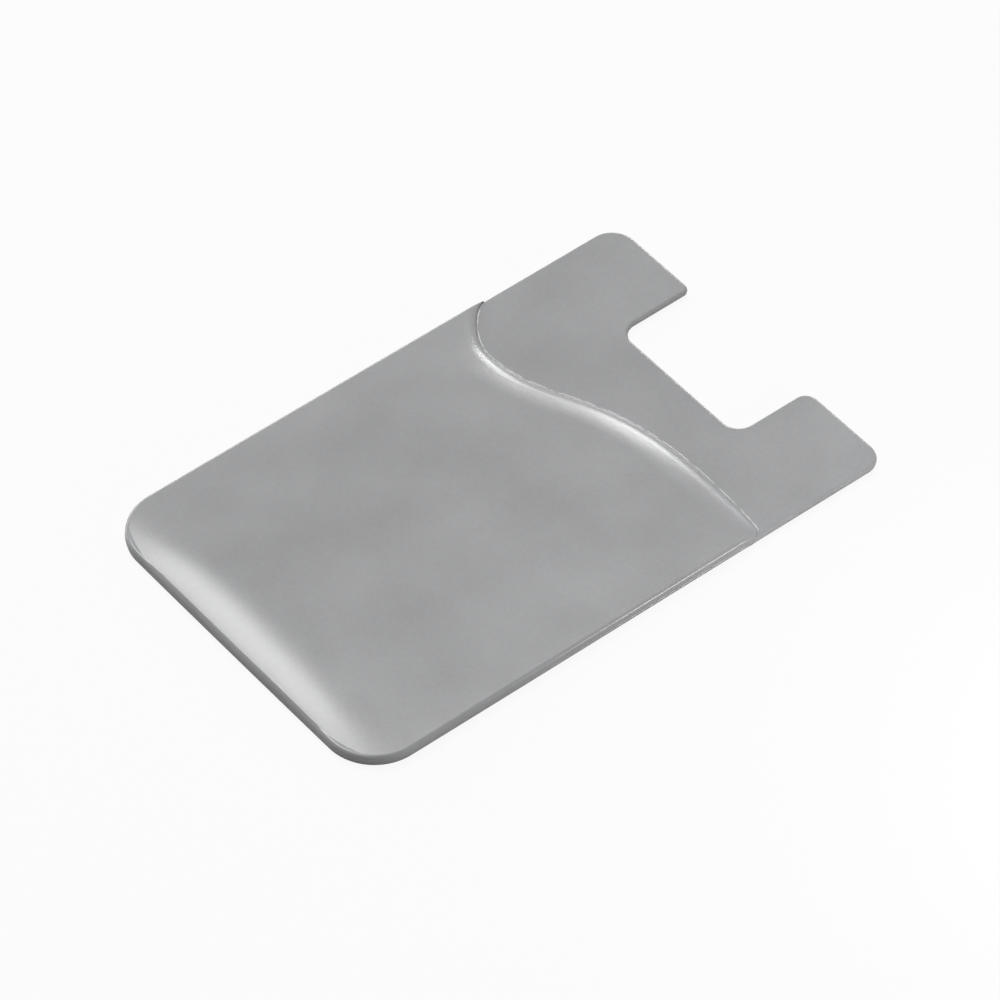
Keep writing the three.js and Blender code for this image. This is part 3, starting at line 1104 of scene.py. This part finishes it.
class POCKET_OT_stage(bpy.types.Operator):
    """Sets up the floor, the lamps, the surroundings and the camera"""

    bl_idname = "pocket.stage"
    bl_label = "Stage"

    def execute(self, context):
        scene = context.scene
        stage = scene.pocket_stage
        right, up, back = camera_axes(stage)
        camera = bpy.data.cameras.new("camera")
        camera.lens = stage.lens
        camera.sensor_width = 36
        camera.clip_start, camera.clip_end = 0.01, 20
        holder = bpy.data.objects.new("camera", camera)
        place = Matrix.Translation(Vector(stage.aim) + back * stage.distance)
        holder.matrix_world = place @ Matrix((right, up, back)).transposed().to_4x4()
        scene.collection.objects.link(holder)
        scene.camera = holder

        reach = stage.floor_size / 2
        z = -FLOOR_GAP
        corners = [(-reach, -reach, z), (reach, -reach, z), (reach, reach, z), (-reach, reach, z)]
        floor = mesh_object("floor", corners, [(0, 1, 2, 3)])
        floor.data.materials.append(floor_material(stage))

        for name, lamp in LAMPS.items():
            softbox(name, *lamp)
        back = SIDE_CARD_PLACE - SIDE_CARD_TARGET
        card = area_lamp("side_card", SIDE_CARD_PLACE, back, SIDE_CARD_WIDE, SIDE_CARD_HIGH)
        card.energy = SIDE_CARD_RADIANCE * math.pi * SIDE_CARD_WIDE * SIDE_CARD_HIGH
        surroundings(scene)
        scene.view_settings.view_transform = "Standard"
        return {"FINISHED"}


def floor_material(stage):
    """Pale floor that shows white around a soft shadow."""
    material, nodes = new_material("Pale floor")
    seen = nodes.add("ShaderNodeLightPath", None, None, "Is Camera Ray")
    plain = nodes.add("ShaderNodeBsdfDiffuse", None, {"Color": (*stage.floor, 1.0)})
    white = nodes.add("ShaderNodeEmission", None, {"Color": (1, 1, 1, 1), "Strength": 1.0})
    shown = nodes.add("ShaderNodeMixShader", None, {0: FLOOR_WHITE, 1: plain, 2: white})
    both = nodes.add("ShaderNodeMixShader", None, {0: seen, 1: plain, 2: shown})
    out = nodes.tree.nodes.new("ShaderNodeOutputMaterial")
    nodes.tree.links.new(both.socket, out.inputs["Surface"])
    return material


def surroundings(scene):
    """Soft surroundings, white where the camera looks past the floor."""
    world = bpy.data.worlds.new("Surroundings")
    scene.world = world
    world.use_nodes = True
    nodes = Nodes(world.node_tree)
    seen = nodes.add("ShaderNodeLightPath", None, None, "Is Camera Ray")
    room = nodes.add("ShaderNodeBackground", None, {"Color": (1, 1, 1, 1), "Strength": ROOM_TONE})
    white = nodes.add("ShaderNodeBackground", None, {"Color": (1, 1, 1, 1), "Strength": 1.0})
    both = nodes.add("ShaderNodeMixShader", None, {0: seen, 1: room, 2: white})
    out = nodes.tree.nodes.new("ShaderNodeOutputWorld")
    nodes.tree.links.new(both.socket, out.inputs["Surface"])


class POCKET_PT_panel(bpy.types.Panel):
    """Lists the sizes, finishes and steps of the card pocket"""

    bl_idname = "POCKET_PT_panel"
    bl_label = "Card Pocket"
    bl_space_type = "VIEW_3D"
    bl_region_type = "UI"
    bl_category = "Card Pocket"

    def draw(self, context):
        layout = self.layout
        for operator in OPERATORS:
            layout.operator(operator.bl_idname)
        for attribute, group in GROUPS.items():
            box = layout.box()
            box.label(text=group.__doc__)
            settings = getattr(context.scene, attribute)
            for name in group.__annotations__:
                box.prop(settings, name)


OPERATORS = (POCKET_OT_body, POCKET_OT_backing, POCKET_OT_stage)


def register():
    for group in (*GROUPS.values(), *OPERATORS, POCKET_PT_panel):
        bpy.utils.register_class(group)
    for attribute, group in GROUPS.items():
        setattr(bpy.types.Scene, attribute, bpy.props.PointerProperty(type=group))


def unregister():
    for attribute in GROUPS:
        delattr(bpy.types.Scene, attribute)
    for group in reversed((*GROUPS.values(), *OPERATORS, POCKET_PT_panel)):
        bpy.utils.unregister_class(group)


def main():
    register()
    bpy.ops.pocket.body()
    bpy.ops.pocket.backing()
    bpy.ops.pocket.stage()


if __name__ == "__main__":
    main()
